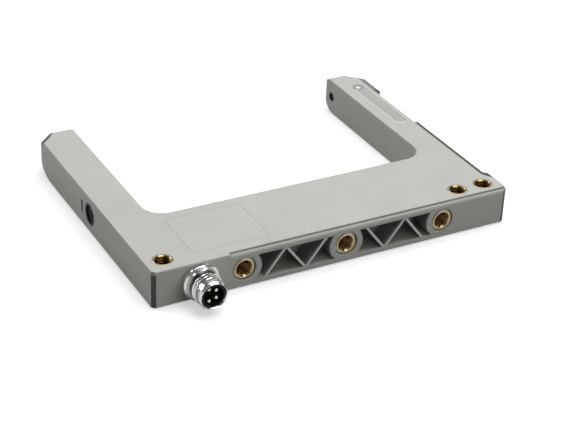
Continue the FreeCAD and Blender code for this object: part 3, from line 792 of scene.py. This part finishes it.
def make_world():
    """Studio surround: soft fill for the object, in metal bright low down, dim overhead, one panel."""
    world = bpy.data.worlds.new("studio")
    world.use_nodes = True
    tree = world.node_tree
    tree.nodes.clear()
    output = tree.nodes.new("ShaderNodeOutputWorld")
    path = add(tree, "ShaderNodeLightPath")
    place = add(tree, "ShaderNodeTexCoord")
    parts = add(tree, "ShaderNodeSeparateXYZ", Vector=place.outputs["Generated"])
    fading = spread(tree, parts.outputs["Z"], HORIZON_LIGHT, CEILING_LIGHT,
                    CEILING_START, CEILING_FULL)
    panel = all_of(tree, [spread(tree, parts.outputs["X"], 0, 1, *PANEL_LEFT),
                          spread(tree, parts.outputs["X"], 1, 0, *PANEL_RIGHT),
                          spread(tree, parts.outputs["Y"], 0, 1, *PANEL_NEAR),
                          spread(tree, parts.outputs["Y"], PANEL_LIGHT, 0, *PANEL_FAR)])
    mirrored = add(tree, "ShaderNodeBackground", Strength=combine(tree, "ADD", fading, panel))
    base = blend(tree, path.outputs["Is Glossy Ray"], studio_light(tree, FILL_LIGHT),
                 mirrored.outputs["Background"])
    whole = blend(tree, seen(tree, "Is Transmission Ray"), base, studio_light(tree, 1.0))
    tree.links.new(whole, output.inputs["Surface"])
    bpy.context.scene.world = world


def make_lamp(name, place, size, power):
    """Soft rectangular lamp turned towards the object."""
    data = bpy.data.lights.new(name, "AREA")
    data.shape = "RECTANGLE"
    data.size, data.size_y = size
    data.energy = power
    lamp = bpy.data.objects.new(name, data)
    lamp.location = place
    lamp.rotation_euler = (-Vector(place)).to_track_quat("-Z", "Y").to_euler()
    bpy.context.scene.collection.objects.link(lamp)


def make_camera():
    """Camera at the photograph's viewing angle."""
    azimuth = math.radians(CAMERA_AZIMUTH)
    elevation = math.radians(CAMERA_ELEVATION)
    back = Vector((math.sin(azimuth) * math.cos(elevation),
                   -math.cos(azimuth) * math.cos(elevation), math.sin(elevation)))
    data = bpy.data.cameras.new("camera")
    data.sensor_width = SENSOR_WIDTH
    data.lens = CAMERA_LENS
    data.clip_start = CLIP_START
    data.clip_end = CLIP_END
    camera = bpy.data.objects.new("camera", data)
    level = (-back).to_track_quat("-Z", "Y")
    roll = Matrix.Rotation(math.radians(CAMERA_ROLL), 3, back)
    camera.rotation_euler = (roll @ level.to_matrix()).to_euler()
    camera.location = Vector(CAMERA_TARGET) + back * CAMERA_DISTANCE
    bpy.context.scene.collection.objects.link(camera)
    bpy.context.scene.camera = camera


housing_plastic = moulded_plastic("housing_plastic", (0.49, 0.49, 0.455), roughness=0.5,
                                  edge=0.25 * MM, housing=True)
cover_plastic = moulded_plastic("cover_plastic", (0.525, 0.53, 0.495), roughness=0.46, edge=0.32 * MM)
plate_foil = moulded_plastic("plate_foil", (0.55, 0.55, 0.52), roughness=0.36, edge=0.05 * MM,
                             depth=2e-6, framed="name_plate")
black_plastic = moulded_plastic("black_plastic", (0.008, 0.008, 0.008), roughness=0.45,
                                edge=0.05 * MM, level=0.3)
trimmer_plastic = moulded_plastic("trimmer_plastic", (0.018, 0.018, 0.018), roughness=0.4,
                                  edge=0.1 * MM, level=0.25)
trimmer_case = moulded_plastic("trimmer_case", (0.03, 0.06, 0.25), roughness=0.45, edge=0.1 * MM)
chip_resin = moulded_plastic("chip_resin", (0.02, 0.02, 0.02), roughness=0.5, edge=0.05 * MM)
seal_rubber = moulded_plastic("seal_rubber", (0.015, 0.015, 0.015), roughness=0.7, edge=0.05 * MM)
window_plastic = light_guide("window_plastic", (0.50, 0.505, 0.485), "indicator_lamp")
lamp_resin = smooth_resin("lamp_resin", (0.9, 0.9, 0.86), roughness=0.1)
diode_resin = smooth_resin("diode_resin", (0.03, 0.01, 0.012), roughness=0.1)
lens_glass = smooth_resin("lens_glass", (0.25, 0.25, 0.27), roughness=0.05)
bush_metal = turned_metal("bush_metal", (0.62, 0.54, 0.38), roughness=0.3, edge=0.06 * MM)
# Brass of the lead-in, smoother and darkened as painted shade
shaded_lead_metal = turned_metal("shaded_lead_metal", (0.40, 0.31, 0.14), roughness=0.12, edge=0.03 * MM)
# Brass of the thread in the bore, darkened as painted shade
shaded_thread_metal = turned_metal("shaded_thread_metal", (0.12, 0.065, 0.025), roughness=0.16, edge=0.03 * MM)
plated_metal = turned_metal("plated_metal", (0.86, 0.855, 0.84), roughness=0.07, edge=0.03 * MM,
                            painted_shade_zone=plug_root_shade_zone)
contact_gold = turned_metal("contact_gold", (0.86, 0.82, 0.72), roughness=0.22, edge=0.05 * MM)
link_copper = turned_metal("link_copper", (0.70, 0.42, 0.28), roughness=0.35, edge=0.02 * MM)
board_laminate = circuit_board("board_laminate")

give(housing_plastic, "housing_tub")
give(cover_plastic, "housing_cover")
give(plate_foil, "name_plate")
give(window_plastic, "indicator_window")
give(lamp_resin, "indicator_lamp")
give(bush_metal, *FRONT_BUSHES, *COVER_BUSHES)
give(plated_metal, "connector_shell")
give(black_plastic, "connector_core", "emitter_port", "receiver_port")
give(contact_gold, "contact_pins")
give(seal_rubber, "connector_seal", "trimmer_seal")
give(lens_glass, "emitter_lens", "receiver_lens")
give(diode_resin, "emitter_diode", "receiver_diode")
give(board_laminate, "main_board", "emitter_board", "receiver_board")
give(link_copper, "emitter_link", "receiver_link")
give(trimmer_plastic, "trimmer_rotor")
give(trimmer_case, "trimmer_body")
give(chip_resin, "controller_chip", "driver_chip", "regulator_chip")

make_plug_shell()
make_window()
for bush_name in FRONT_BUSHES:
    make_bush(bush_name, (0, -1, 0), mouth=0.6 * MM, bright=0.45 * MM, gap=0.22 * MM)
for bush_name in COVER_BUSHES:
    make_bush(bush_name, Z, mouth=0.5 * MM, bright=0.22 * MM, gap=0.05 * MM)

make_floor()
make_world()
for lamp_values in LAMPS:
    make_lamp(*lamp_values)
make_camera()
bpy.context.scene.view_settings.view_transform = "Standard"
